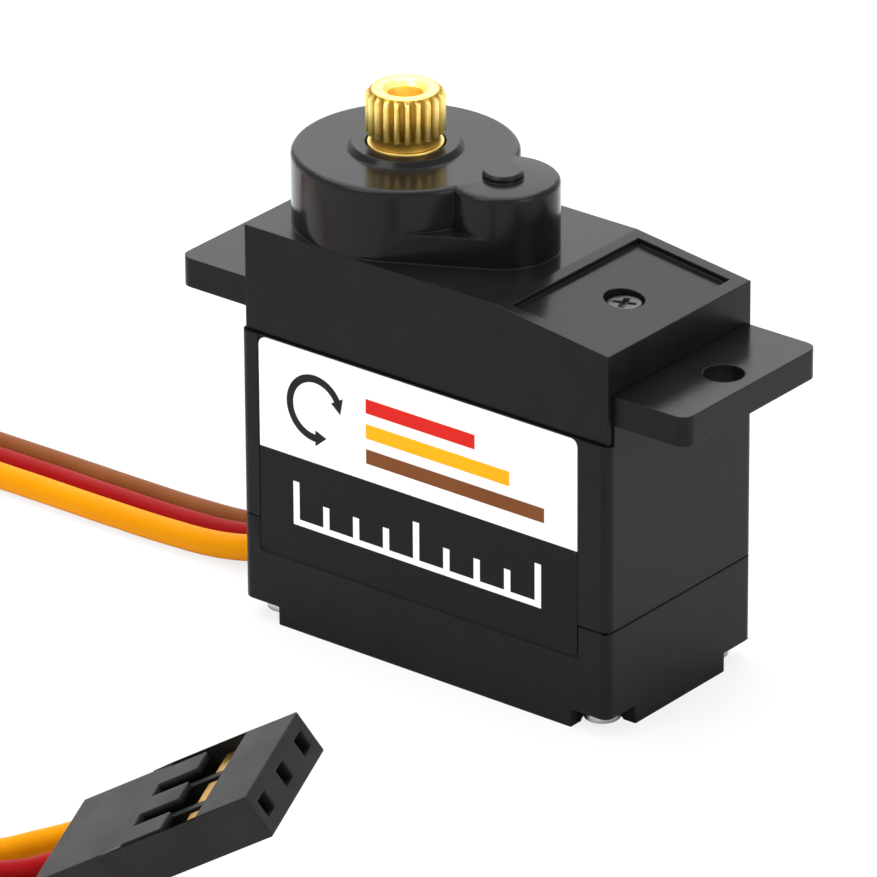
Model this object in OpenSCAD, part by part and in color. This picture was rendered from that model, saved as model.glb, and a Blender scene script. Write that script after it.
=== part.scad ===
/* [Case] */
// Length of the lower case along X, without the mounting ears
case_length = 23.6; // [23.5:0.1:24]
// Width of the lower case along Y
case_width = 12.1; // [12:0.1:12.4]
// Length of the upper housing along X
housing_length = 23.2; // [23.1:0.1:23.3]
// Width of the upper housing along Y
housing_width = 11.7; // [11.6:0.05:11.8]
// Height of the flat roof above the base
roof_height = 21.9; // [21.8:0.1:22.2]
// Height of the roof at the low end of its slope
roof_low_height = 21; // [20.9:0.1:21.2]
// Place along X where the roof starts to slope
slope_start = 4.5; // [4.2:0.1:4.8]
// Height of the joint between bottom cover and middle case
lower_seam = 5.85; // [5.6:0.05:6]
// Height of the joint between middle case and the skirts of the upper housing
upper_seam = 16.15; // [16.1:0.05:16.2]
// Gap that shows at each joint
seam_gap = 0.08; // [0.04:0.01:0.1]
// Radius of the upright corners of the lower case
corner_r = 0.5; // [0.4:0.05:0.6]

/* [Mounting ears] */
// Length over both ears
ear_span = 32.4; // [32.2:0.1:33]
// Width of the ears and of the case between the skirts
ear_width = 11; // [10.9:0.05:11]
// Height of the underside of the ears
ear_bottom = 17.2; // [17.1:0.05:17.3]
// Height of the top of the ears
ear_top = 18.8; // [18.7:0.05:18.8]
// Distance between the two mounting holes
hole_spacing = 28.8; // [28.2:0.1:29]
// Diameter of the mounting holes
hole_d = 2.1; // [1.9:0.1:2.3]

/* [Output] */
// Place of the output axis along X
output_x = -5.73; // [-5.78:0.05:-5.68]
// Height of the top of the tower
tower_height = 25.75; // [25.7:0.05:25.9]
// Height of the top of the spline
spline_top = 28.95; // [28.85:0.05:29.1]
// Outer diameter of the spline
spline_d = 4.08; // [4:0.02:4.14]
// Number of spline teeth
spline_teeth = 21; // [20:1:25]
// Diameter of the screw hole in the output shaft
shaft_hole_d = 1.8; // [1.6:0.1:2]

/* [Gears] */
// Module of all gear teeth
gear_module = 0.25; // [0.25]
// Teeth on the large wheels of the second, third and output gears
wheel_teeth = 38; // [38]
// Teeth on the small pinions of the compound gears
pinion_teeth = 12; // [12]
// Teeth on the large wheel of the first gear
first_wheel_teeth = 32; // [32]
// Teeth on the motor pinion
motor_pinion_teeth = 8; // [8]

/* [Leads and plug] */
// Diameter of one insulated lead
lead_d = 1.4; // [1.2:0.02:1.4]
// Distance between the leads in the flat ribbon
lead_pitch = 1.45; // [1.42:0.01:1.47]
// Length of the plug
plug_length = 13.5; // [13.4:0.1:13.6]
// Width of the plug
plug_width = 7.3; // [7.3:0.05:7.6]
// Thickness of the plug
plug_height = 2.4; // [2.4:0.05:2.5]

/* [Hidden] */
$fn = 96;
eps = 0.01;

// case
half_length = case_length / 2;
half_width = case_width / 2;
end_wall = 1.2;
side_wall = 1.4;
roof_wall = 0.8;
bay_x = half_length - end_wall;
bay_y = half_width - side_wall;
housing_shift = 0.07;
housing_x0 = housing_shift - housing_length / 2;
housing_x1 = housing_shift + housing_length / 2;
housing_y = housing_width / 2;
gear_bay_x = housing_length / 2 - roof_wall;
gear_bay_y = housing_y - roof_wall;
tongue_in = 0.4;
cover_floor = 1;
deck_bottom = 16.3;
deck_top = 17.3;
ceiling = 20.9;
low_ceiling = 20.1;
low_ceiling_x = 5.6;
slope_angle = atan((roof_height - roof_low_height) / (housing_x1 - slope_start));
skirt_clearance = 0.03;
ear_corner_r = 0.7;

// corner screws
screw_x = half_length - 1.5;
screw_y = half_width - 1.55;
screw_r = 0.55;
screw_head_r = 0.95;
screw_head_h = 0.65;
screw_base = 0.3;
screw_top = 19.6;
post_r = 1.25;
notch = 2.3;

// roof panel and its screw
panel_start = 0.65;
panel_length = 5.8;
panel_width = 10.3;
panel_depth = 0.3;
cover_screw_x = 8.17;
cover_screw_head_z = 20.6;
cover_screw_bore_r = 1.05;
cover_screw_shank_r = 0.5;
cover_post_r = 1.1;

// tower
axle_x = output_x + gear_module * (wheel_teeth + pinion_teeth) / 2;
motor_x = axle_x + gear_module * (first_wheel_teeth + motor_pinion_teeth) / 2;
big_boss_r = 5.83;
small_boss_r = 2.9;
boss_edge_r = 0.3;
web_top = 23.5;
tower_ceiling = 24.85;
big_room_r = 5.1;
small_room_r = 1.98;
collar_bore_r = 2.07;
collar_top = 26.05;
bush_seat_top = 25.4;
bush_r = 2.6;
bush_flange_r = 3.2;
bush_flange_z = 24.5;
cap_r = 1.05;
cap_h = 0.35;

// shafts and fits
axle_r = 0.6;
pot_shaft_r = 0.75;
running_clearance = 0.04;
journal_r = 1.95;
spline_root_r = spline_d / 2 - 0.27;
spline_z = 26.65;
spline_phase = -48.3;
spline_chamfer = 0.3;
motor_shaft_r = 0.4;

// gear levels
first_wheel_z = 17.6;
second_wheel_z = 18.9;
third_wheel_z = 19.8;
output_wheel_z = 21.4;
output_wheel_h = 2.9;

// tooth form
pressure_angle = 25;
addendum = 0.7;
dedendum = 1;
backlash = 0.05;
flank_steps = 3;

// motor
can_r = 4.8;
can_flat_y = 4.5;
can_wall = 0.4;
can_bottom = 5.9;
can_top = 16.1;
cap_bottom = 4.5;
cap_plug_top = 6.4;

// potentiometer
pot_r = 4.3;
pot_wall = 0.5;
pot_bottom = 12.4;
pot_top = 16.2;

// control board
board_z = 2.6;
board_h = 0.8;
board_x0 = -9;
board_x1 = 8.8;
board_y = 4.2;

// label
label_x0 = -10.57;
label_x1 = 9.88;
label_z0 = 4.07;
label_z1 = 16.05;
label_recess = 0.08;
label_t = 0.07;
label_r = 0.45;

// leads: the middle lead's route, from the clamp in the case wall to the plug
lead_r = lead_d / 2;
lead_z = 1.6;
lead_route = [
    [-10.6, 0, 1.6], [-12.5, 0, 1.6], [-14.5, -0.25, 1.25], [-17, -0.6, 0.88], [-20, -0.8, 0.76],
    [-24, -0.95, 0.76], [-29, -1, 0.76], [-35, -1.1, 0.76], [-43, -1.15, 0.76], [-51, -1.5, 0.76],
    [-57, -3.1, 0.76], [-62.5, -6.5, 0.76], [-66.5, -11.5, 0.76], [-68.5, -17.5, 0.76],
    [-68.2, -24, 0.76], [-65.2, -30, 0.76], [-60, -34.5, 0.76], [-54, -37.2, 0.76],
    [-46, -38.4, 0.76], [-37, -38.8, 0.76], [-29, -39, 0.76], [-21, -39, 0.76],
    [-13, -38.9, 0.76], [-7, -38.6, 0.8], [-3, -37.9, 1], [0, -37.1, 1.65],
    [2.3, -36.5, 2.77], [3.55, -36.2, 3.52]
];
lead_last = len(lead_route) - 1;
clamp_x = -10.6;

// plug: place of the middle of its front top edge, and its turn
plug_place = [13.17, -34, 11];
plug_turn = [10, -31.7, 14];
contact_pitch = 2.54;
plug_axis_z = -1.21;
contact_end = -12.3;
window_x0 = -7.9;
window_x1 = -3.2;
window_y = 3.3;
contact_front = -4.7;

module rounded_plate(l, w, r, h) {
    linear_extrude(height = h)
        union() {
            square([l - 2 * r, w], center = true);
            square([l, w - 2 * r], center = true);
            for (sx = [-1, 1], sy = [-1, 1])
                translate([sx * (l / 2 - r), sy * (w / 2 - r)])
                    circle(r = r);
        }
}

module block(x0, x1, y0, y1, z0, z1) {
    translate([x0, y0, z0])
        cube([x1 - x0, y1 - y0, z1 - z0]);
}

module rod(x, y, r, z0, z1) {
    translate([x, y, z0])
        cylinder(r = r, h = z1 - z0);
}

module at_corner_screws() {
    for (sx = [-1, 1], sy = [-1, 1])
        translate([sx * screw_x, sy * screw_y, 0])
            children();
}

// A boss with a rounded top edge
module round_boss(x, r, z0, z1) {
    translate([x, 0, z0])
        rotate_extrude()
            union() {
                square([r, z1 - z0 - boss_edge_r]);
                square([r - boss_edge_r, z1 - z0]);
                translate([r - boss_edge_r, z1 - z0 - boss_edge_r])
                    circle(r = boss_edge_r);
            }
}

// Involute tooth: half of its angle at a radius
function involute_turn(r, base) = r <= base ? 0 : sqrt(pow(r / base, 2) - 1) * 180 / PI - acos(base / r);
function half_tooth(r, pitch_r, teeth) =
    90 / teeth - backlash / (4 * pitch_r) * 180 / PI
    + involute_turn(pitch_r, pitch_r * cos(pressure_angle))
    - involute_turn(r, pitch_r * cos(pressure_angle));
function polar(r, a) = [r * cos(a), r * sin(a)];
function gear_outline(teeth, pitch_r, root_r, tip_r) = [
    for (k = [0:teeth - 1], side = [-1, 1], i = [0:flank_steps])
        let (
            step = side < 0 ? i : flank_steps - i,
            r = root_r + (tip_r - root_r) * step / flank_steps
        )
        polar(r, 360 * k / teeth + side * half_tooth(r, pitch_r, teeth))
];
function pitch_radius(teeth) = gear_module * teeth / 2;

module toothed(teeth, phase, z0, z1) {
    pitch_r = pitch_radius(teeth);
    translate([0, 0, z0])
        rotate([0, 0, phase])
            linear_extrude(height = z1 - z0)
                polygon(gear_outline(
                    teeth, pitch_r,
                    pitch_r - dedendum * gear_module,
                    pitch_r + addendum * gear_module
                ));
}

module bottom_cover() {
    color("#2b2b2c")
        difference() {
            union() {
                rounded_plate(case_length, case_width, corner_r, lower_seam - seam_gap / 2);
                difference() {
                    block(-bay_x + 0.05, bay_x - 0.05, -bay_y + 0.05, bay_y - 0.05, 2, lower_seam + 0.7);
                    block(-bay_x + tongue_in, bay_x - tongue_in, -bay_y + tongue_in, bay_y - tongue_in,
                        1.9, lower_seam + 0.8);
                    at_corner_screws()
                        rod(0, 0, post_r + 0.05, lower_seam - seam_gap / 2, lower_seam + 0.8);
                    rod(motor_x, 0, can_r + 0.05, lower_seam - seam_gap / 2, lower_seam + 0.8);
                    block(-0.5, 0.5, -half_width, half_width, lower_seam - seam_gap / 2, lower_seam + 0.8);
                }
            }
            difference() {
                block(-bay_x + tongue_in, bay_x - tongue_in, -bay_y + tongue_in, bay_y - tongue_in,
                    cover_floor, lower_seam);
                at_corner_screws()
                    rod(0, 0, post_r, 0, lower_seam + 1);
                for (s = [-1, 1])
                    block(-6, 6, s > 0 ? board_y - 0.4 : -half_width, s > 0 ? half_width : -board_y + 0.4,
                        0, board_z);
            }
            rod(motor_x, 0, can_r + 0.05, cap_bottom - 0.1, lower_seam);
            at_corner_screws() {
                rod(0, 0, screw_r + 0.05, -1, lower_seam + 1);
                rod(0, 0, screw_head_r + 0.1, -1, cover_floor);
            }
            for (sx = [-1, 1], sy = [-1, 1])
                translate([sx * half_length, sy * half_width, 0])
                    cube([2 * notch, 2 * notch, 2 * cover_floor], center = true);
            block(-half_length - 1, clamp_x + eps, -lead_pitch - lead_r - 0.05, lead_pitch + lead_r + 0.05,
                lead_z - lead_r - 0.05, lead_z + lead_r + 0.05);
            block(clamp_x, -9.5, -2.2, 2.2, cover_floor, 2.5);
            label_recess_cut();
        }
}

module label_recess_cut() {
    block(label_x0 - 0.05, label_x1 + 0.05, -half_width - 1, -half_width + label_recess,
        label_z0 - 0.05, upper_seam);
}

module middle_case() {
    color("#2d2d2e")
        difference() {
            union() {
                translate([0, 0, lower_seam + seam_gap / 2])
                    rounded_plate(case_length, case_width, corner_r,
                        upper_seam - seam_gap / 2 - lower_seam - seam_gap / 2);
                block(-half_length, half_length, -ear_width / 2, ear_width / 2, upper_seam - 1, ear_top);
                translate([0, 0, ear_bottom])
                    rounded_plate(ear_span, ear_width, ear_corner_r, ear_top - ear_bottom);
                rod(cover_screw_x, 0, cover_post_r, deck_top, low_ceiling - 0.05);
            }
            difference() {
                block(-bay_x, bay_x, -bay_y, bay_y, 0, deck_bottom);
                at_corner_screws()
                    rod(0, 0, post_r, 0, deck_top);
                block(-0.4, 0.4, -half_width, half_width, lower_seam, deck_top);
            }
            difference() {
                block(-gear_bay_x, gear_bay_x, -ear_width / 2 + 0.55, ear_width / 2 - 0.55,
                    deck_top, ear_top + 1);
                at_corner_screws()
                    rod(0, 0, post_r, 0, ear_top + 1);
                rod(cover_screw_x, 0, cover_post_r, 0, low_ceiling);
            }
            at_corner_screws()
                rod(0, 0, screw_r + 0.05, 0, ear_top + 1);
            for (s = [-1, 1])
                rod(s * hole_spacing / 2, 0, hole_d / 2, 0, ear_top + 1);
            rod(output_x, 0, 1.45, 0, ear_top);
            rod(axle_x, 0, axle_r + 0.01, 0, ear_top);
            rod(motor_x, 0, 1.12, 0, ear_top);
            rod(cover_screw_x, 0, cover_screw_shank_r + 0.01, deck_top + 0.2, low_ceiling);
            label_recess_cut();
        }
}

// The tower's outer shape: two bosses joined by a lower web with flat sides
module tower() {
    reach = (big_boss_r - small_boss_r) / (axle_x - output_x);
    lift = sqrt(1 - reach * reach);
    round_boss(output_x, big_boss_r, roof_height - 0.5, tower_height);
    round_boss(axle_x, small_boss_r, roof_height - 0.5, tower_height);
    translate([0, 0, roof_height - 0.5])
        linear_extrude(height = web_top - roof_height + 0.5)
            polygon([
                [output_x, 0],
                [output_x + big_boss_r * reach, -big_boss_r * lift],
                [axle_x + small_boss_r * reach, -small_boss_r * lift],
                [axle_x + small_boss_r * reach, small_boss_r * lift],
                [output_x + big_boss_r * reach, big_boss_r * lift]
            ]);
    translate([output_x, 0, tower_height - eps])
        cylinder(r1 = 3, r2 = 2.72, h = collar_top - tower_height + eps);
    rod(axle_x, 0, cap_r, tower_height - eps, tower_height + cap_h - 0.13);
    translate([axle_x, 0, tower_height + cap_h - 0.13])
        cylinder(r1 = cap_r, r2 = cap_r - 0.13, h = 0.13);
}

module upper_housing() {
    color("#2e2e2f")
        difference() {
            union() {
                rotate([90, 0, 0])
                    linear_extrude(height = housing_width, center = true)
                        polygon([
                            [housing_x0, ear_top],
                            [housing_x1, ear_top],
                            [housing_x1, roof_low_height],
                            [slope_start, roof_height],
                            [housing_x0, roof_height]
                        ]);
                for (s = [-1, 1])
                    block(housing_x0, housing_x1,
                        s > 0 ? ear_width / 2 + skirt_clearance : -housing_y,
                        s > 0 ? housing_y : -ear_width / 2 - skirt_clearance,
                        upper_seam + seam_gap / 2, ear_top + 0.5);
                tower();
            }
            difference() {
                union() {
                    block(-gear_bay_x, low_ceiling_x, -gear_bay_y, gear_bay_y, ear_top - 1, ceiling);
                    block(0, gear_bay_x, -gear_bay_y, gear_bay_y, ear_top - 1, low_ceiling);
                }
                at_corner_screws()
                    rod(0, 0, post_r, ear_top - 1, roof_height);
            }
            at_corner_screws()
                rod(0, 0, screw_r + 0.01, ear_top - 1, screw_top + 0.2);
            rod(output_x, 0, big_room_r, ear_top, tower_ceiling);
            rod(axle_x, 0, small_room_r, ear_top, tower_ceiling);
            rod(output_x, 0, bush_r, ear_top, bush_seat_top);
            rod(output_x, 0, collar_bore_r, ear_top, collar_top + 1);
            rod(axle_x, 0, axle_r + 0.01, ear_top, tower_height - 0.2);
            translate([slope_start, 0, roof_height])
                rotate([0, slope_angle, 0])
                    block(panel_start, panel_start + panel_length, -panel_width / 2, panel_width / 2,
                        -panel_depth, 2);
            rod(cover_screw_x, 0, cover_screw_bore_r, cover_screw_head_z, roof_height + 1);
            rod(cover_screw_x, 0, cover_screw_shank_r + 0.1, low_ceiling - 1, roof_height + 1);
        }
}

// A screw head's cross recess, cut downwards from z = 0
module cross_recess(span, width, depth) {
    for (a = [0, 90])
        rotate([0, 0, a + 20])
            translate([-span / 2, -width / 2, -depth])
                cube([span, width, depth + 1]);
}

module case_screws() {
    color("#b9bcc0")
        at_corner_screws()
            difference() {
                union() {
                    rod(0, 0, screw_head_r, screw_base, screw_base + screw_head_h);
                    rod(0, 0, screw_r, screw_base, screw_top);
                }
                translate([0, 0, screw_base])
                    mirror([0, 0, 1])
                        cross_recess(1.1, 0.28, 0.45);
            }
}

module cover_screw() {
    head_h = 0.35;
    color("#1c1c1d")
        translate([cover_screw_x, 0, cover_screw_head_z])
            difference() {
                union() {
                    cylinder(r = 0.98, h = head_h - 0.1);
                    translate([0, 0, head_h - 0.1])
                        cylinder(r1 = 0.98, r2 = 0.85, h = 0.1);
                    rod(0, 0, cover_screw_shank_r, deck_top + 0.4 - cover_screw_head_z, 0.1);
                }
                translate([0, 0, head_h])
                    cross_recess(1.25, 0.3, 0.3);
            }
}

module label() {
    color("#f4f4f2")
        translate([(label_x0 + label_x1) / 2, -half_width + label_recess, (label_z0 + label_z1) / 2])
            rotate([90, 0, 0])
                rounded_plate(label_x1 - label_x0, label_z1 - label_z0, label_r, label_t);
}

module output_bush() {
    color("#b08d4a")
        difference() {
            union() {
                rod(output_x, 0, bush_r, tower_ceiling - 0.1, bush_seat_top);
                rod(output_x, 0, bush_flange_r, bush_flange_z, tower_ceiling);
            }
            rod(output_x, 0, journal_r + running_clearance, 0, tower_height);
        }
}

module axle_pin() {
    color("#c8cacd")
        rod(axle_x, 0, axle_r, deck_bottom, tower_height - 0.25);
}

// Splined end of the output shaft, with coned ends on its teeth
module spline() {
    tip_r = spline_d / 2;
    intersection() {
        rotate([0, 0, spline_phase])
            translate([0, 0, spline_z])
                linear_extrude(height = spline_top - spline_z)
                    polygon([
                        for (k = [0:spline_teeth - 1], e = [[-0.34, 0], [-0.1, 1], [0.1, 1], [0.34, 0]])
                            polar(e[1] > 0 ? tip_r : spline_root_r, (k + e[0]) * 360 / spline_teeth)
                    ]);
        rotate_extrude()
            polygon([
                [0, spline_z - 1],
                [tip_r + 0.3, spline_z - 1],
                [tip_r + 0.3, spline_top - spline_chamfer - 0.3],
                [tip_r - spline_chamfer - 0.1, spline_top + 0.1],
                [0, spline_top + 0.1]
            ]);
    }
}

// Round bar with a flat, as on the potentiometer shaft and in its hole
module flatted_bar(r, z0, z1) {
    difference() {
        cylinder(r = r, h = z1);
        translate([r - 0.3, -r, -1])
            cube([r, 2 * r, z1 + 2]);
        translate([-r - 1, -r - 1, -1])
            cube([2 * r + 2, 2 * r + 2, z0 + 1]);
    }
}

module output_gear() {
    color("#d9ad4e")
        translate([output_x, 0, 0])
            difference() {
                union() {
                    toothed(wheel_teeth, 0, output_wheel_z, output_wheel_z + output_wheel_h);
                    rod(0, 0, 1.4, 20.95, output_wheel_z + 0.1);
                    rod(0, 0, journal_r, output_wheel_z + output_wheel_h - 0.1, 26.1);
                    rod(0, 0, spline_root_r - 0.02, 26, spline_z + 0.1);
                    spline();
                }
                flatted_bar(pot_shaft_r + 0.01, 20, 22.9);
                rod(0, 0, shaft_hole_d / 2, 24.4, spline_top + 1);
                translate([0, 0, spline_top - 0.4])
                    cylinder(r1 = shaft_hole_d / 2 - 0.12, r2 = shaft_hole_d / 2 + 0.38, h = 0.5);
            }
}

// Wheel below, pinion above, and a bore right through
module compound_gear(wheel, wheel_phase, z0, z1, pinion_phase, z2, bore_r) {
    difference() {
        union() {
            toothed(wheel, wheel_phase, z0, z1);
            toothed(pinion_teeth, pinion_phase, z1 - 0.1, z2);
        }
        rod(0, 0, bore_r, z0 - 1, z2 + 1);
    }
}

half_pinion_pitch = 180 / pinion_teeth;
half_wheel_pitch = 180 / wheel_teeth;

module first_gear() {
    color("#d0a548")
        translate([axle_x, 0, 0])
            compound_gear(first_wheel_teeth, 0, first_wheel_z, 18.4, half_pinion_pitch, 19.7,
                axle_r + running_clearance);
}

module second_gear() {
    color("#cda246")
        translate([output_x, 0, 0])
            compound_gear(wheel_teeth, 0, second_wheel_z, 19.6, 0, 20.75,
                pot_shaft_r + running_clearance);
}

module third_gear() {
    color("#d2a84c")
        translate([axle_x, 0, 0])
            compound_gear(wheel_teeth, half_wheel_pitch, third_wheel_z, 20.6, half_pinion_pitch, 24.5,
                axle_r + running_clearance);
}

// A motor-shaped bar: round with two flats
module motor_profile(r, flat, z0, z1) {
    translate([motor_x, 0, z0])
        intersection() {
            cylinder(r = r, h = z1 - z0);
            translate([-r, -flat, 0])
                cube([2 * r, 2 * flat, z1 - z0]);
        }
}

module motor_can() {
    color("#c2c5c8")
        difference() {
            motor_profile(can_r, can_flat_y, can_bottom, can_top);
            motor_profile(can_r - can_wall, can_flat_y - can_wall, can_bottom - 1, can_top - can_wall);
            rod(motor_x, 0, 1.1, can_top - 1, can_top + 1);
        }
}

module motor_end_cap() {
    color("#e8e4d8")
        difference() {
            union() {
                motor_profile(can_r, can_flat_y, cap_bottom, can_bottom);
                motor_profile(can_r - can_wall, can_flat_y - can_wall, can_bottom - 0.1, cap_plug_top);
            }
            rod(motor_x, 0, motor_shaft_r + running_clearance, cap_bottom + 0.4, cap_plug_top + 1);
            for (s = [-1, 1])
                block(motor_x - 0.75, motor_x + 0.75, s * 2.6 - 0.2, s * 2.6 + 0.2,
                    cap_bottom - 1, cap_plug_top + 1);
        }
}

module motor_magnets() {
    color("#4a4b4d")
        intersection() {
            difference() {
                rod(motor_x, 0, can_r - can_wall, 7, 15);
                rod(motor_x, 0, 3.4, 6, 16);
            }
            block(motor_x - can_r, motor_x + can_r, -3.2, 3.2, 6, 16);
        }
}

module motor_bearing() {
    color("#a97b3c")
        difference() {
            union() {
                rod(motor_x, 0, 1.1, can_top - 0.5, deck_top - 0.2);
                rod(motor_x, 0, 1.7, can_top - 0.7, can_top - can_wall);
            }
            rod(motor_x, 0, motor_shaft_r + running_clearance, 0, deck_top);
        }
}

module motor_brushes() {
    color("#b5793a")
        for (s = [-1, 1])
            block(motor_x - 0.5, motor_x + 0.5, s > 0 ? 0.95 : -1.6, s > 0 ? 1.6 : -0.95,
                cap_plug_top, cap_plug_top + 0.9);
}

module motor_terminals() {
    color("#c9c3a4")
        for (s = [-1, 1])
            block(motor_x - 0.75, motor_x + 0.75, s * 2.6 - 0.2, s * 2.6 + 0.2,
                board_z + board_h, cap_plug_top);
}

module motor_shaft() {
    color("#cfd1d4")
        rod(motor_x, 0, motor_shaft_r, cap_bottom + 0.5, 18.7);
}

module motor_pinion() {
    color("#d8b04f")
        translate([motor_x, 0, 0])
            difference() {
                toothed(motor_pinion_teeth, 180 / motor_pinion_teeth, 17.5, 18.5);
                rod(0, 0, motor_shaft_r, 17, 19);
            }
}

pole_turns = [0, 120, 240];

module motor_armature() {
    color("#8d8f92")
        translate([motor_x, 0, 8.2])
            linear_extrude(height = 5.8)
                difference() {
                    union() {
                        circle(r = 1.1);
                        for (a = pole_turns)
                            rotate([0, 0, a])
                                translate([0.8, -0.45])
                                    square([2, 0.9]);
                        difference() {
                            circle(r = 3.1);
                            circle(r = 2.55);
                            for (a = pole_turns)
                                rotate([0, 0, a + 60])
                                    translate([1, -0.45])
                                        square([3, 0.9]);
                        }
                    }
                    circle(r = motor_shaft_r);
                }
}

module motor_windings() {
    color("#b4622d")
        translate([motor_x, 0, 0])
            for (a = pole_turns, s = [-1, 1])
                rotate([0, 0, a])
                    block(1.35, 2.3, s > 0 ? 0.5 : -0.95, s > 0 ? 0.95 : -0.5, 8, 14.2);
}

module motor_commutator() {
    color("#bf8040")
        difference() {
            rod(motor_x, 0, 0.9, 6.5, 7.7);
            rod(motor_x, 0, motor_shaft_r, 6, 8);
            for (a = pole_turns)
                translate([motor_x, 0, 6])
                    rotate([0, 0, a])
                        translate([0.6, -0.06, 0])
                            cube([1, 0.12, 2]);
        }
}

module pot_body() {
    color("#2f4d73")
        difference() {
            union() {
                rod(output_x, 0, pot_r, pot_bottom, pot_top);
                rod(output_x, 0, 1.4, pot_top - 0.1, deck_top);
            }
            rod(output_x, 0, pot_r - pot_wall, pot_bottom + pot_wall, pot_top - pot_wall);
            rod(output_x, 0, pot_shaft_r + running_clearance, pot_bottom + 1, deck_top + 1);
        }
}

module pot_track() {
    color("#3a2a20")
        difference() {
            rod(output_x, 0, 3.6, pot_bottom + pot_wall, pot_bottom + pot_wall + 0.2);
            rod(output_x, 0, 2.2, 0, 20);
            block(output_x - 0.5, output_x + 0.5, 0, 5, 0, 20);
        }
}

module pot_shaft() {
    color("#d7d9db")
        translate([output_x, 0, 0])
            union() {
                rod(0, 0, pot_shaft_r, pot_bottom + 0.6, 20.9);
                flatted_bar(pot_shaft_r, 20.8, 22.8);
            }
}

module pot_wiper() {
    color("#c0954a")
        translate([output_x, 0, 0])
            difference() {
                union() {
                    rod(0, 0, 1.4, 13.5, 14.1);
                    block(-0.5, 0.5, -3.2, 0, 13.5, 13.8);
                    block(-0.5, 0.5, -3.2, -2.6, 13.2, 13.8);
                }
                rod(0, 0, pot_shaft_r, 13, 15);
            }
}

module pot_leads() {
    color("#c9cacc")
        for (k = [-1:1])
            rod(output_x + k * contact_pitch, 0, 0.22, board_z + board_h, pot_bottom);
}

module control_board() {
    color("#1f6b3f")
        block(board_x0, board_x1, -board_y, board_y, board_z, board_z + board_h);
}

module control_chip() {
    color("#242426")
        block(-2.5, 2.5, -2.2, 2.2, board_z - 0.9, board_z);
}

module board_parts() {
    color("#b79a6a") {
        for (k = [0:3])
            block(3.6, 4.8, -3.1 + k * 1.7, -2.3 + k * 1.7, board_z - 0.5, board_z);
        for (s = [-1, 1])
            block(-6, -4.2, s * 2.6 - 0.7, s * 2.6 + 0.7, board_z - 0.8, board_z);
        block(6, 7.6, -1.5, 1.5, board_z - 0.7, board_z);
    }
}

module lead_clamp() {
    color("#1a1a1b")
        difference() {
            block(clamp_x, -9.5, -2.15, 2.15, cover_floor, 2.45);
            for (k = [-1:1])
                translate([clamp_x - 1, k * lead_pitch, lead_z])
                    rotate([0, 90, 0])
                        cylinder(r = 0.3, h = 3);
        }
}

module lead_ends() {
    color("#d5b48a")
        for (k = [-1:1]) {
            translate([clamp_x, k * lead_pitch, lead_z])
                rotate([0, 90, 0])
                    cylinder(r = 0.3, h = 2.3);
            rod(clamp_x + 2.3, k * lead_pitch, 0.3, lead_z, board_z);
        }
}

// Ribbon geometry: direction, side direction and spacing at each point of the route
function unit(v) = v / norm(v);
function lead_dir(i) = unit(lead_route[min(i + 1, lead_last)] - lead_route[max(i - 1, 0)]);
function level_side(i) = unit([-lead_dir(i).y, lead_dir(i).x, 0]);
function turn_x(v, a) = [v.x, v.y * cos(a) - v.z * sin(a), v.y * sin(a) + v.z * cos(a)];
function turn_y(v, a) = [v.x * cos(a) + v.z * sin(a), v.y, v.z * cos(a) - v.x * sin(a)];
function turn_z(v, a) = [v.x * cos(a) - v.y * sin(a), v.x * sin(a) + v.y * cos(a), v.z];
function plug_turned(v) = turn_z(turn_y(turn_x(v, plug_turn.x), plug_turn.y), plug_turn.z);
function lead_side(i) = lead_last - i < 3 ? plug_turned([0, 1, 0]) : level_side(i);
function lead_spacing(i) =
    let (left = lead_last - i)
    left < 3 ? contact_pitch : left == 3 ? 2.3 : left == 4 ? 1.9 : left == 5 ? 1.6 : lead_pitch;
function lead_centre(i, side) = lead_route[i] + side * lead_spacing(i) * lead_side(i);
function lead_ring(i, side) =
    let (
        centre = lead_centre(i, side),
        across = unit(cross(lead_dir(i), [0, 0, 1])),
        up = cross(across, lead_dir(i))
    )
    [for (a = [0:45:315]) centre + lead_r * (cos(a) * across + sin(a) * up)];

module lead(side) {
    rings = [for (i = [0:lead_last]) each lead_ring(i, side)];
    walls = [
        for (i = [0:lead_last - 1], j = [0:7])
            [8 * i + j, 8 * i + (j + 1) % 8, 8 * (i + 1) + (j + 1) % 8, 8 * (i + 1) + j]
    ];
    first_end = [[7, 6, 5, 4, 3, 2, 1, 0]];
    last_end = [[for (j = [0:7]) 8 * lead_last + j]];
    polyhedron(points = rings, faces = concat(walls, first_end, last_end), convexity = 6);
}

module signal_lead() {
    color("#f09600") lead(1);
}

module positive_lead() {
    color("#be191e") lead(0);
}

module ground_lead() {
    color("#8b481e") lead(-1);
}

module in_plug() {
    translate(plug_place)
        rotate(plug_turn)
            children();
}

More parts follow.
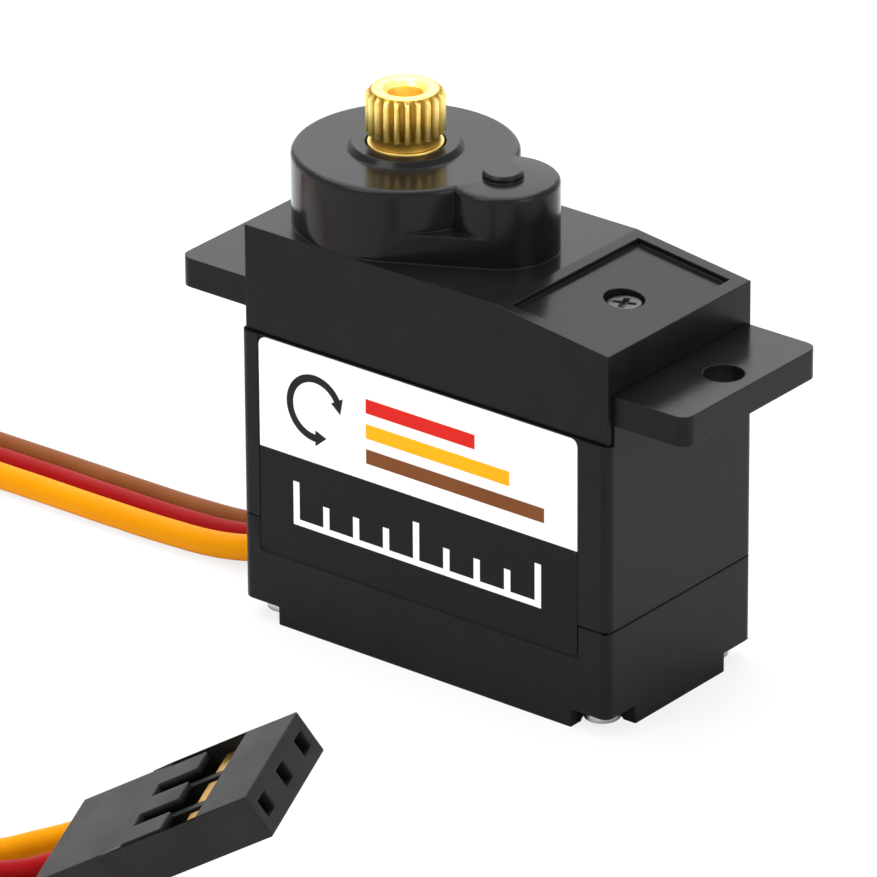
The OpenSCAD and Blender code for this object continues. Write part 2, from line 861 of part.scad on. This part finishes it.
module plug_housing() {
    color("#3a3a3b")
        in_plug()
            difference() {
                union() {
                    block(-9.1, 0, -plug_width / 2, plug_width / 2, -plug_height, 0);
                    block(-plug_length, -9, -plug_width / 2 + 0.1, plug_width / 2 - 0.1, -plug_height, 0);
                }
                for (k = [-1:1]) {
                    block(-plug_length - 1, -0.8, k * contact_pitch - 0.95, k * contact_pitch + 0.95,
                        plug_axis_z - 0.75, plug_axis_z + 0.75);
                    block(-1, 1, k * contact_pitch - 0.45, k * contact_pitch + 0.45,
                        plug_axis_z - 0.5, plug_axis_z + 0.5);
                    block(window_x0, window_x1, k * contact_pitch - 1.05, k * contact_pitch + 1.05,
                        plug_axis_z, 1);
                }
                difference() {
                    block(window_x0, window_x1, -window_y, window_y, -0.45, 1);
                    for (k = [-1:1])
                        block(window_x0 - 1, -5.5, k * contact_pitch - 0.75, k * contact_pitch + 0.75,
                            -0.45, 0);
                }
            }
    color("#3a3a3b")
        in_plug()
            for (k = [-1:1])
                block(window_x0 - 0.2, -5.5, k * contact_pitch - 0.75, k * contact_pitch + 0.75, -0.4, 0);
}

module plug_contacts() {
    color("#d8b25a")
        in_plug()
            for (k = [-1:1])
                difference() {
                    union() {
                        block(contact_front, -0.85, k * contact_pitch - 0.85, k * contact_pitch + 0.85,
                            plug_axis_z - 0.7, plug_axis_z + 0.65);
                        block(contact_end, contact_front + 0.1, k * contact_pitch - 0.6,
                            k * contact_pitch + 0.6, plug_axis_z - 0.7, plug_axis_z - 0.3);
                    }
                    block(contact_front - 0.1, 0, k * contact_pitch - 0.4, k * contact_pitch + 0.4,
                        plug_axis_z - 0.4, plug_axis_z + 0.4);
                }
}

bottom_cover();
middle_case();
upper_housing();
case_screws();
cover_screw();
label();
output_bush();
axle_pin();
output_gear();
first_gear();
second_gear();
third_gear();
motor_can();
motor_end_cap();
motor_magnets();
motor_bearing();
motor_brushes();
motor_terminals();
motor_shaft();
motor_pinion();
motor_armature();
motor_windings();
motor_commutator();
pot_body();
pot_track();
pot_shaft();
pot_wiper();
pot_leads();
control_board();
control_chip();
board_parts();
lead_clamp();
lead_ends();
signal_lead();
positive_lead();
ground_lead();
plug_housing();
plug_contacts();
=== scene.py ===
"""A micro servo: black moulded case, splined brass shaft, three leads and their plug."""

from math import cos, pi, radians, sin

import bmesh
import bpy
from mathutils import Euler, Matrix, Vector


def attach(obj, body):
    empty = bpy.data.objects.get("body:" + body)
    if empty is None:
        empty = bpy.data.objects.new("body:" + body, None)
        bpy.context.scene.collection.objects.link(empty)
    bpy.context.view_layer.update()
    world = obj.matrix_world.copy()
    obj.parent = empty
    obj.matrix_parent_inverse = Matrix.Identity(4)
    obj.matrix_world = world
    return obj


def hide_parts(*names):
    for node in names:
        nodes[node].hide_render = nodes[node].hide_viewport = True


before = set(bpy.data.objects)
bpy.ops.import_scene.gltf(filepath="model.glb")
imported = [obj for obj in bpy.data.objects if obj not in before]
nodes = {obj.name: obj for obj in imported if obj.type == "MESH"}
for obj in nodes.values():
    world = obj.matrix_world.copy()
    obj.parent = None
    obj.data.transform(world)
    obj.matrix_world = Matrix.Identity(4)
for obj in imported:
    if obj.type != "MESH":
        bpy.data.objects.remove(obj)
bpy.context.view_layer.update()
MM = 0.001

# Camera: a long lens, in front and to the right, a little above
CAMERA_AIM = Vector((-27.72, 30.0, -8.06)) * MM
CAMERA_DISTANCE = 508.6 * MM
CAMERA_AZIMUTH = radians(38.64)
CAMERA_ELEVATION = radians(25.19)
CAMERA_ROLL = radians(-0.37)
LENS_MM = 374.5
SENSOR_MM = 36

# The middle lead's route, as in the CAD source, in millimetres
LEAD_ROUTE_MM = [
    (-10.6, 0, 1.6), (-12.5, 0, 1.6), (-14.5, -0.25, 1.25), (-17, -0.6, 0.88), (-20, -0.8, 0.76),
    (-24, -0.95, 0.76), (-29, -1, 0.76), (-35, -1.1, 0.76), (-43, -1.15, 0.76), (-51, -1.5, 0.76),
    (-57, -3.1, 0.76), (-62.5, -6.5, 0.76), (-66.5, -11.5, 0.76), (-68.5, -17.5, 0.76),
    (-68.2, -24, 0.76), (-65.2, -30, 0.76), (-60, -34.5, 0.76), (-54, -37.2, 0.76),
    (-46, -38.4, 0.76), (-37, -38.8, 0.76), (-29, -39, 0.76), (-21, -39, 0.76),
    (-13, -38.9, 0.76), (-7, -38.6, 0.8), (-3, -37.9, 1), (0, -37.1, 1.65),
    (2.3, -36.5, 2.77), (3.55, -36.2, 3.52),
]
LEAD_D = 1.4 * MM
LEAD_PITCH = 1.45 * MM
# Spacing of the leads where the ribbon fans out into the plug, from its end back
FAN_PITCHES = [2.54 * MM, 2.54 * MM, 2.54 * MM, 2.3 * MM, 1.9 * MM, 1.6 * MM]
PLUG_TURN = Euler((radians(10), radians(-31.7), radians(14)), "XYZ").to_matrix()

# Axes and levels that the looks are worked out from
SHAFT_X = -5.73 * MM
SPLINE_TIP_R = 2.04 * MM
SPLINE_ROOT_R = 1.77 * MM
LABEL_SPLIT_Z = 9.94 * MM
LABEL_FACE_Y = -6.04 * MM

# Printed marks on the label: three bars, each with its middle height, right end and ink
INK_MM = 0.008
LABEL_BARS = ((14.1, 3.4, "red"), (12.7, 5.6, "orange"), (11.3, 7.8, "brown"))
BAR_START_MM = -3.6
BAR_HALF_MM = 0.4
# A scale below them: its rule, and ticks that stand on it, every fourth one tall
RULE_START_MM = -8.4
RULE_STOP_MM = 7.6
RULE_WIDE_MM = 0.35
RULE_Z_MM = 6.1
TICKS = 9
TICK_FIRST_MM = -8.2
TICK_PITCH_MM = 1.95
TICK_HALF_MM = 0.2
TICK_Z_MM = 6.44
TICK_TALL_MM = 2.1
TICK_SHORT_MM = 1.2

# Strength of the white screens round the stage, where 1 is white: as fill, as seen and as mirrored
SCREEN_FILL = 0.45
SCREEN_SEEN = 1.0
SCREEN_MIRRORED = 1.1


def place_camera():
    away = Vector((
        sin(CAMERA_AZIMUTH) * cos(CAMERA_ELEVATION),
        -cos(CAMERA_AZIMUTH) * cos(CAMERA_ELEVATION),
        sin(CAMERA_ELEVATION),
    ))
    lens = bpy.data.cameras.new("camera")
    lens.lens = LENS_MM
    lens.sensor_width = SENSOR_MM
    camera = bpy.data.objects.new("camera", lens)
    turn = away.to_track_quat("Z", "Y").to_matrix() @ Matrix.Rotation(CAMERA_ROLL, 3, "Z")
    camera.matrix_world = Matrix.LocRotScale(CAMERA_AIM + away * CAMERA_DISTANCE, turn, None)
    bpy.context.scene.collection.objects.link(camera)
    bpy.context.scene.camera = camera


# ---- leads -------------------------------------------------------------------------------


def lead_points(side):
    """The route of one lead of the ribbon: side is -1, 0 or 1."""
    route = [Vector(p) * MM for p in LEAD_ROUTE_MM]
    last = len(route) - 1
    points = []
    for i, middle in enumerate(route):
        run = route[min(i + 1, last)] - route[max(i - 1, 0)]
        left = last - i
        across = PLUG_TURN @ Vector((0, 1, 0)) if left < 3 else Vector((-run.y, run.x, 0)).normalized()
        pitch = FAN_PITCHES[left] if left < len(FAN_PITCHES) else LEAD_PITCH
        points.append(middle + across * pitch * side)
    return points


def make_lead(name, node, side):
    """A round lead, swept smoothly through its points."""
    points = lead_points(side)
    curve = bpy.data.curves.new(name, "CURVE")
    curve.dimensions = "3D"
    curve.resolution_u = 6
    spline = curve.splines.new("BEZIER")
    spline.bezier_points.add(len(points) - 1)
    for knot, point in zip(spline.bezier_points, points):
        knot.co = point
        knot.handle_left_type = knot.handle_right_type = "AUTO"
    guide = bpy.data.objects.new(name + "_guide", curve)
    bpy.context.scene.collection.objects.link(guide)
    centreline = [v.co.copy() for v in bpy.data.meshes.new_from_object(guide).vertices]
    curve.bevel_depth = LEAD_D / 2
    curve.bevel_resolution = 6
    curve.use_fill_caps = True
    tube = bpy.data.meshes.new_from_object(guide)
    bpy.data.objects.remove(guide)
    lead = bpy.data.objects.new(name, tube)
    bpy.context.scene.collection.objects.link(lead)
    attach(lead, "case")
    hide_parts(node)
    return lead


# ---- materials ---------------------------------------------------------------------------


def paint(hex_colour):
    """An sRGB hex colour as linear values, opaque."""
    channels = [int(hex_colour[i : i + 2], 16) / 255 for i in (1, 3, 5)]
    linear = [c / 12.92 if c <= 0.04045 else ((c + 0.055) / 1.055) ** 2.4 for c in channels]
    return (*linear, 1.0)


def add(tree, kind, settings=None, sockets=None):
    """Adds a shader node, sets it, and fills its inputs with values or with other nodes' outputs."""
    made = tree.nodes.new("ShaderNode" + kind)
    for key, value in (settings or {}).items():
        setattr(made, key, value)
    for key, value in (sockets or {}).items():
        if isinstance(value, bpy.types.NodeSocket):
            tree.links.new(value, made.inputs[key])
        else:
            made.inputs[key].default_value = value
    return made


def new_material(name):
    """An empty material, its node tree, its shader, and the place of each point in metres."""
    material = bpy.data.materials.new(name)
    material.use_nodes = True
    tree = material.node_tree
    shader = tree.nodes["Principled BSDF"]
    place = add(tree, "TexCoord").outputs["Object"]
    return material, tree, shader, place


def noise(tree, place, size_mm, detail=2.0):
    """Cloudy noise whose lumps are size_mm across."""
    made = add(tree, "TexNoise", None, {
        "Vector": place, "Scale": 1 / (size_mm * MM), "Detail": detail, "Roughness": 0.5,
    })
    return made.outputs["Fac"]


def wave(tree, place, pitch_mm, settings, distortion, detail):
    """Ridges pitch_mm apart; the texture itself turns through 20 radians in each unit of length."""
    made = add(tree, "TexWave", settings, {
        "Vector": place, "Scale": 2 * pi / (20 * pitch_mm * MM), "Distortion": distortion, "Detail": detail,
    })
    return made.outputs["Fac"]


def from_axis(tree, place, centre_x):
    """Each point's place, measured from an upright axis at centre_x."""
    return add(tree, "VectorMath", {"operation": "SUBTRACT"}, {0: place, 1: (centre_x, 0, 0)}).outputs[0]


def spread(tree, value, low, high):
    """Stretches noise, which mostly keeps between 0.3 and 0.7, over low to high."""
    made = add(tree, "MapRange", None, {
        "Value": value, "From Min": 0.3, "From Max": 0.7, "To Min": low, "To Max": high,
    })
    return made.outputs["Result"]


def between(tree, factor, first, second):
    """Blends two colours, which are the node's sockets 6 and 7; the blend comes out of socket 2."""
    made = add(tree, "Mix", {"data_type": "RGBA"}, {"Factor": factor, 6: first, 7: second})
    return made.outputs[2]


def relief(tree, height, depth_mm, under=None):
    """Bump of a real depth, on top of another bump if one is given."""
    sockets = {"Height": height, "Distance": depth_mm * MM, "Strength": 1.0}
    if under is not None:
        sockets["Normal"] = under
    return add(tree, "Bump", None, sockets).outputs["Normal"]


def textured(
    name, light, dark, rough, grain_mm, depth_mm, patch_mm=3.0, metallic=0.0, edge_mm=0.0, **shader_values
):
    """A surface with a fine grain, and slow changes of shade and gloss over it; edge_mm eases its edges."""
    material, tree, shader, place = new_material(name)
    patches = noise(tree, place, patch_mm, 3.0)
    grain = noise(tree, place, grain_mm, 2.0)
    colour = between(tree, spread(tree, patches, 0.0, 1.0), paint(light), paint(dark))
    tree.links.new(colour, shader.inputs["Base Color"])
    tree.links.new(spread(tree, patches, rough[0], rough[1]), shader.inputs["Roughness"])
    eased = None
    if edge_mm:
        eased = add(tree, "Bevel", {"samples": 4}, {"Radius": edge_mm * MM}).outputs["Normal"]
    tree.links.new(relief(tree, grain, depth_mm, eased), shader.inputs["Normal"])
    shader.inputs["Metallic"].default_value = metallic
    for key, value in shader_values.items():
        shader.inputs[key.replace("_", " ")].default_value = value
    return material


def turned(name, light, dark, rough, ring_mm, depth_mm, centre_x):
    """Metal cut on a lathe about an upright axis: fine rings, and tarnish in patches."""
    material, tree, shader, place = new_material(name)
    centred = from_axis(tree, place, centre_x)
    rings = wave(tree, centred, ring_mm, {"wave_type": "RINGS", "rings_direction": "Z"}, 0.6, 2.0)
    patches = noise(tree, place, 0.7, 3.0)
    colour = between(tree, spread(tree, patches, 0.0, 1.0), paint(light), paint(dark))
    tree.links.new(colour, shader.inputs["Base Color"])
    tree.links.new(spread(tree, patches, rough[0], rough[1]), shader.inputs["Roughness"])
    fine = relief(tree, noise(tree, place, 0.06, 2.0), depth_mm)
    tree.links.new(relief(tree, rings, depth_mm, fine), shader.inputs["Normal"])
    shader.inputs["Metallic"].default_value = 1.0
    return material


def cut_brass_spline():
    """Cut brass: bright yellow metal with fine tool lines, and painted shade that turns it brown down in
    the grooves.
    """
    material, tree, shader, place = new_material("cut_brass_spline")
    centred = from_axis(tree, place, SHAFT_X)
    flat = add(tree, "VectorMath", {"operation": "MULTIPLY"}, {0: centred, 1: (1, 1, 0)}).outputs[0]
    radius = add(tree, "VectorMath", {"operation": "LENGTH"}, {0: flat}).outputs["Value"]
    # Mask for the painted shade: 0 at the bottom of a groove, 1 from just below the tips and on the flat
    # end inside the teeth
    groove_depth = SPLINE_TIP_R - SPLINE_ROOT_R - 0.06 * MM
    from_root = add(tree, "Math", {"operation": "SUBTRACT"}, {0: radius, 1: SPLINE_ROOT_R}).outputs[0]
    off_root = add(tree, "Math", {"operation": "ABSOLUTE"}, {0: from_root}).outputs[0]
    depth = add(tree, "MapRange", None, {
        "Value": off_root, "From Min": 0.0, "From Max": groove_depth,
    }).outputs["Result"]
    patches = noise(tree, place, 0.5, 3.0)
    bright = between(tree, spread(tree, patches, 0.0, 1.0), paint("#fde690"), paint("#f8d576"))
    # Painted shade: brown at the bottom of each groove, blending into the bright brass towards the tips
    colour = between(tree, depth, paint("#9a7428"), bright)
    tree.links.new(colour, shader.inputs["Base Color"])
    tree.links.new(spread(tree, patches, 0.36, 0.46), shader.inputs["Roughness"])
    # Tool lines run round the shaft, 0.05 mm apart
    lines = wave(tree, centred, 0.05, {"wave_type": "BANDS", "bands_direction": "Z"}, 1.0, 1.0)
    fine = relief(tree, patches, 0.004)
    tree.links.new(relief(tree, lines, 0.0006, fine), shader.inputs["Normal"])
    shader.inputs["Metallic"].default_value = 1.0
    return material


def printed_label():
    """Satin vinyl film, printed white above and black below, with the film's slight orange peel."""
    material, tree, shader, place = new_material("printed_vinyl_label")
    height = add(tree, "SeparateXYZ", None, {0: place}).outputs["Z"]
    above = add(tree, "Math", {"operation": "GREATER_THAN"}, {0: height, 1: LABEL_SPLIT_Z}).outputs[0]
    patches = noise(tree, place, 4.0, 2.0)
    white = between(tree, patches, paint("#f6f6f5"), paint("#fbfbfb"))
    black = between(tree, patches, paint("#121213"), paint("#161617"))
    tree.links.new(between(tree, above, black, white), shader.inputs["Base Color"])
    tree.links.new(spread(tree, patches, 0.34, 0.44), shader.inputs["Roughness"])
    tree.links.new(relief(tree, noise(tree, place, 0.5, 2.0), 0.002), shader.inputs["Normal"])
    shader.inputs["Specular IOR Level"].default_value = 0.08
    return material


def lead_sheath(name, light, dark):
    """Extruded soft PVC: even and satin, with the slight unevenness that the die leaves."""
    return textured(
        name, light, dark, (0.34, 0.46), grain_mm=0.35, depth_mm=0.008, patch_mm=5.0,
        Specular_IOR_Level=0.06,
    )


# ---- edges and dressing ------------------------------------------------------------------


def dress(node, material, edge_mm=0.0):
    """Gives a CAD node its finish and, if asked, the small radius that its real edges have."""
    piece = nodes[node]
    mesh = piece.data
    mesh.materials.clear()
    mesh.materials.append(material)
    # The flat facets' own shading would show through the edge radius as stars
    for name in ("custom_normal", "sharp_edge", "sharp_face"):
        layer = mesh.attributes.get(name)
        if layer:
            mesh.attributes.remove(layer)
    mesh.polygons.foreach_set("use_smooth", [True] * len(mesh.polygons))
    piece.modifiers.new("weld", "WELD").merge_threshold = 1e-6
    if edge_mm:
        edge = piece.modifiers.new("edge radius", "BEVEL")
        edge.width = edge_mm * MM
        edge.segments = 2
        edge.limit_method = "ANGLE"
        edge.angle_limit = radians(30)
        edge.use_clamp_overlap = False
    else:
        piece.modifiers.new("crisp edges", "EDGE_SPLIT").split_angle = radians(30)
    piece.modifiers.new("even shading", "WEIGHTED_NORMAL").weight = 90
    return piece


def crease(piece, x_mm):
    """Keeps the shallow fold across a roof crisp."""
    mesh = piece.data
    folds = mesh.attributes.new("sharp_edge", "BOOLEAN", "EDGE")
    for edge in mesh.edges:
        ends = [mesh.vertices[v].co.x for v in edge.vertices]
        folds.data[edge.index].value = all(abs(x - x_mm * MM) < 0.02 * MM for x in ends)


# ---- label marks -------------------------------------------------------------------------


def rectangle(start, stop, bottom, top):
    """The corners of an upright oblong, as x and z in millimetres."""
    return [(start, bottom), (stop, bottom), (stop, top), (start, top)]


def label_mark(name, outline_mm, x_mm, z_mm, ink):
    """One printed mark: a thin layer of ink on the label's face, its outline as x and z round its place."""
    mesh = bpy.data.meshes.new(name)
    build = bmesh.new()
    back = [build.verts.new((x * MM, 0, z * MM)) for x, z in outline_mm]
    front = [build.verts.new((x * MM, -INK_MM * MM, z * MM)) for x, z in outline_mm]
    build.faces.new(back[::-1])
    build.faces.new(front)
    for i in range(len(back)):
        j = (i + 1) % len(back)
        build.faces.new((back[i], back[j], front[j], front[i]))
    bmesh.ops.recalc_face_normals(build, faces=build.faces)
    build.to_mesh(mesh)
    build.free()
    mesh.materials.append(ink)
    mark = bpy.data.objects.new(name, mesh)
    mark.location = (x_mm * MM, LABEL_FACE_Y, z_mm * MM)
    bpy.context.scene.collection.objects.link(mark)
    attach(mark, "case")


def arc_outline(radius, width, start, stop, head):
    """An arc with an arrowhead at each end, as x and z round its middle, in millimetres and degrees."""
    steps = 40
    turns = [radians(start + (stop - start) * i / steps) for i in range(steps + 1)]
    outer = [((radius + width / 2) * cos(a), (radius + width / 2) * sin(a)) for a in turns]
    inner = [((radius - width / 2) * cos(a), (radius - width / 2) * sin(a)) for a in turns]
    tips = []
    half_barb = head * 0.6
    for a, way in ((turns[-1], 1), (turns[0], -1)):
        far, near = radius + half_barb, radius - half_barb
        lead = a + way * head / radius
        tips.append([(r * cos(turn), r * sin(turn)) for r, turn in ((far, a), (radius, lead), (near, a))])
    return outer + tips[0] + inner[::-1] + tips[1][::-1]


# ---- studio ------------------------------------------------------------------------------


def lay_floor():
    """A white sheet: as white as paper to the eye, with the object's soft shadow on it."""
    mesh = bpy.data.meshes.new("floor")
    half = 3.0  # metres
    mesh.from_pydata(
        [(-half, -half, 0), (half, -half, 0), (half, half, 0), (-half, half, 0)], [], [(0, 1, 2, 3)]
    )
    floor = bpy.data.objects.new("floor", mesh)
    bpy.context.scene.collection.objects.link(floor)
    material = bpy.data.materials.new("white_paper_sheet")
    material.use_nodes = True
    tree = material.node_tree
    tree.nodes.remove(tree.nodes["Principled BSDF"])
    paper = add(tree, "BsdfDiffuse", None, {"Color": paint("#f2f2f2")})
    glow = add(tree, "Emission", None, {"Color": paint("#ffffff"), "Strength": 1.0})
    seen = add(tree, "LightPath").outputs["Is Camera Ray"]
    share = add(tree, "Math", {"operation": "MULTIPLY"}, {0: seen, 1: 0.8}).outputs[0]
    both = add(tree, "MixShader", None, {0: share, 1: paper.outputs[0], 2: glow.outputs[0]})
    tree.links.new(both.outputs[0], tree.nodes["Material Output"].inputs["Surface"])
    mesh.materials.append(material)


def hang_lamp(name, towards, distance, size, power):
    """A softbox that faces the case from the given direction."""
    light = bpy.data.lights.new(name, "AREA")
    light.shape = "RECTANGLE"
    light.size, light.size_y = size
    light.energy = power
    lamp = bpy.data.objects.new(name, light)
    direction = Vector(towards).normalized()
    turn = direction.to_track_quat("Z", "Y")
    lamp.matrix_world = Matrix.LocRotScale(Vector((0, 0, 12 * MM)) + direction * distance, turn, None)
    bpy.context.scene.collection.objects.link(lamp)


def light_studio():
    world = bpy.data.worlds.new("studio")
    bpy.context.scene.world = world
    world.use_nodes = True
    backdrop = world.node_tree.nodes["Background"]
    backdrop.inputs["Color"].default_value = paint("#ffffff")
    # The white screens look white, are mirrored a little brighter, and give a lower fill
    tree = world.node_tree
    rays = add(tree, "LightPath")
    seen = add(tree, "MapRange", None, {
        "Value": rays.outputs["Is Camera Ray"], "To Min": SCREEN_FILL, "To Max": SCREEN_SEEN,
    })
    mirrored = add(tree, "MapRange", None, {
        "Value": rays.outputs["Is Glossy Ray"], "To Min": SCREEN_FILL, "To Max": SCREEN_MIRRORED,
    })
    strength = add(tree, "Math", {"operation": "MAXIMUM"}, {0: seen.outputs[0], 1: mirrored.outputs[0]})
    tree.links.new(strength.outputs[0], backdrop.inputs["Strength"])
    hang_lamp("top softbox", (-0.2, 0.15, 1), 0.5, (0.5, 0.5), 3.4)
    hang_lamp("back softbox", (-0.6, 0.75, 0.55), 0.6, (0.5, 0.35), 0.7)
    hang_lamp("front softbox", (-0.25, -0.8, 0.95), 0.5, (0.22, 0.22), 0.8)
    hang_lamp("right softbox", (1.0, -0.1, 0.45), 0.6, (0.3, 0.3), 1.2)


# ---- the model ---------------------------------------------------------------------------

place_camera()
signal = make_lead("signal_lead_sheath", "signal_lead", 1)
positive = make_lead("positive_lead_sheath", "positive_lead", 0)
ground = make_lead("ground_lead_sheath", "ground_lead", -1)

sheaths = {
    "orange": lead_sheath("orange_pvc_sheath", "#e09202", "#d78800"),
    "red": lead_sheath("red_pvc_sheath", "#920c0f", "#88090b"),
    "brown": lead_sheath("brown_pvc_sheath", "#804822", "#743f1b"),
}
for lead, colour in ((signal, "orange"), (positive, "red"), (ground, "brown")):
    lead.data.materials.append(sheaths[colour])

# Moulded nylon from a spark-eroded tool: near black, with a fine grain that softens its gloss
case_nylon = textured(
    "moulded_nylon_fine_grain", "#111112", "#161617", (0.34, 0.42), grain_mm=0.14, depth_mm=0.006,
    edge_mm=0.12, Specular_IOR_Level=0.1,
)
# The same nylon from a smoother tool: glossier, so edges and roofs catch the light
tower_nylon = textured(
    "moulded_nylon_smooth", "#131314", "#171718", (0.16, 0.23), grain_mm=0.25, depth_mm=0.003,
    edge_mm=0.12, Specular_IOR_Level=0.14,
)
plug_nylon = textured(
    "moulded_nylon_plug", "#222223", "#1b1b1c", (0.28, 0.38), grain_mm=0.16, depth_mm=0.005, edge_mm=0.08,
    Specular_IOR_Level=0.1,
)
zinc_screw = textured(
    "zinc_plated_steel", "#cfd1d3", "#b4b7bb", (0.22, 0.34), grain_mm=0.12, depth_mm=0.002, metallic=1.0
)
black_screw = textured(
    "black_oxide_steel", "#121212", "#1a1a1b", (0.3, 0.42), grain_mm=0.1, depth_mm=0.003, edge_mm=0.06
)
gold_flash = textured(
    "gold_flashed_bronze", "#e0b35a", "#c8963c", (0.22, 0.34), grain_mm=0.1, depth_mm=0.002, metallic=1.0
)

dress("bottom_cover", case_nylon, 0.08)
middle_case = dress("middle_case", case_nylon)
middle_case.data.materials.append(tower_nylon)
for face in middle_case.data.polygons:
    face.material_index = int(face.normal.z > 0.9)
upper_housing = dress("upper_housing", case_nylon)
crease(upper_housing, 4.5)
upper_housing.data.materials.append(tower_nylon)
for face in upper_housing.data.polygons:
    face.material_index = int(face.center.z > 21.3 * MM or face.normal.z > 0.9)
dress("case_screws", zinc_screw, 0.06)
dress("cover_screw", black_screw, 0.05)
dress("label", printed_label())
dress("output_gear", cut_brass_spline(), 0.03)
dress("plug_housing", plug_nylon, 0.08)
dress("plug_contacts", gold_flash, 0.04)

# Printed marks that stand in for the label's own: a turn sign, a rule and the three lead colours
inks = {
    name: textured(
        f"screen_printed_{name}_ink", light, dark, (0.35, 0.45), grain_mm=0.3, depth_mm=0.001,
        Specular_IOR_Level=0.08,
    )
    for name, light, dark in (
        ("black", "#1a1a1b", "#202021"),
        ("white", "#f4f4f3", "#fafafa"),
        ("red", "#d8261c", "#cf1f17"),
        ("orange", "#f7b512", "#f2ab08"),
        ("brown", "#7d4a26", "#744321"),
    )
}
label_mark("label_turn_sign", arc_outline(1.65, 0.42, 30, 270, 0.75), -6.9, 13, inks["black"])
for middle_z, stop_x, colour in LABEL_BARS:
    bar = rectangle(BAR_START_MM, stop_x, -BAR_HALF_MM, BAR_HALF_MM)
    label_mark(f"label_bar_{colour}", bar, 0, middle_z, inks[colour])
rule = rectangle(RULE_START_MM, RULE_STOP_MM, 0, RULE_WIDE_MM)
label_mark("label_scale_rule", rule, 0, RULE_Z_MM, inks["white"])
for k in range(TICKS):
    tick = rectangle(-TICK_HALF_MM, TICK_HALF_MM, 0, TICK_TALL_MM if k % 4 == 0 else TICK_SHORT_MM)
    tick_x = TICK_FIRST_MM + TICK_PITCH_MM * k
    label_mark(f"label_scale_tick_{k + 1}", tick, tick_x, TICK_Z_MM, inks["white"])

# Inside the case
gear_brass = textured(
    "hobbed_brass", "#dcb25a", "#c99a40", (0.25, 0.36), grain_mm=0.2, depth_mm=0.002, metallic=1.0
)
for node in ("first_gear", "second_gear", "third_gear", "motor_pinion", "pot_wiper"):
    dress(node, gear_brass)
oiled_bronze = textured(
    "sintered_bronze", "#b3904c", "#94733a", (0.4, 0.55), grain_mm=0.12, depth_mm=0.01, metallic=1.0
)
for node in ("output_bush", "motor_bearing"):
    dress(node, oiled_bronze)
dress("axle_pin", turned("ground_steel_pin", "#cdd0d3", "#b9bcc0", (0.15, 0.25), 0.08, 0.0005, 0.5 * MM))
dress("motor_shaft", turned(
    "ground_steel_shaft", "#cdd0d3", "#b9bcc0", (0.15, 0.25), 0.08, 0.0005, 5.5 * MM
))
dress("pot_shaft", turned("turned_steel_shaft", "#c8cacc", "#b2b5b8", (0.22, 0.3), 0.1, 0.001, SHAFT_X))
dress("motor_can", textured(
    "drawn_nickelled_steel", "#b9bcbf", "#a8abae", (0.28, 0.38), grain_mm=0.3, depth_mm=0.003, metallic=1.0
))
dress("motor_magnets", textured(
    "ground_ferrite", "#4a4b4d", "#3b3c3e", (0.5, 0.6), grain_mm=0.15, depth_mm=0.008, metallic=0.3
))
dress("motor_end_cap", textured(
    "moulded_cream_nylon", "#e9e4d6", "#ded8c8", (0.4, 0.5), grain_mm=0.2, depth_mm=0.005
))
dress("motor_armature", textured(
    "stamped_silicon_steel", "#8f9194", "#7d7f82", (0.35, 0.45), grain_mm=0.35, depth_mm=0.01, metallic=1.0
))
copper_wire = textured(
    "enamelled_copper_wire", "#b4622d", "#9a4f22", (0.22, 0.32), grain_mm=0.12, depth_mm=0.03, metallic=1.0
)
for node in ("motor_windings", "motor_brushes", "motor_commutator"):
    dress(node, copper_wire)
tinned = textured(
    "tinned_copper", "#c9cacc", "#b3b4b5", (0.28, 0.4), grain_mm=0.15, depth_mm=0.004, metallic=1.0
)
for node in ("motor_terminals", "pot_leads", "lead_ends"):
    dress(node, tinned)
dress("pot_body", textured(
    "moulded_blue_thermoplastic", "#2f4d73", "#294465", (0.38, 0.48), grain_mm=0.2, depth_mm=0.005
))
dress("pot_track", textured(
    "screen_printed_carbon", "#3a2f28", "#2c241f", (0.5, 0.6), grain_mm=0.1, depth_mm=0.006
))
dress("control_board", textured(
    "green_solder_mask", "#1f6b3f", "#1a5d37", (0.28, 0.38), grain_mm=0.4, depth_mm=0.004
))
dress("control_chip", textured(
    "moulded_epoxy", "#242426", "#1f1f21", (0.45, 0.55), grain_mm=0.1, depth_mm=0.005
))
dress("board_parts", textured(
    "fired_ceramic", "#b79a6a", "#a58856", (0.4, 0.5), grain_mm=0.1, depth_mm=0.004
))
dress("lead_clamp", textured(
    "moulded_rubber", "#1a1a1b", "#202021", (0.55, 0.65), grain_mm=0.15, depth_mm=0.006
))

lay_floor()
light_studio()
bpy.context.scene.view_settings.view_transform = "Standard"
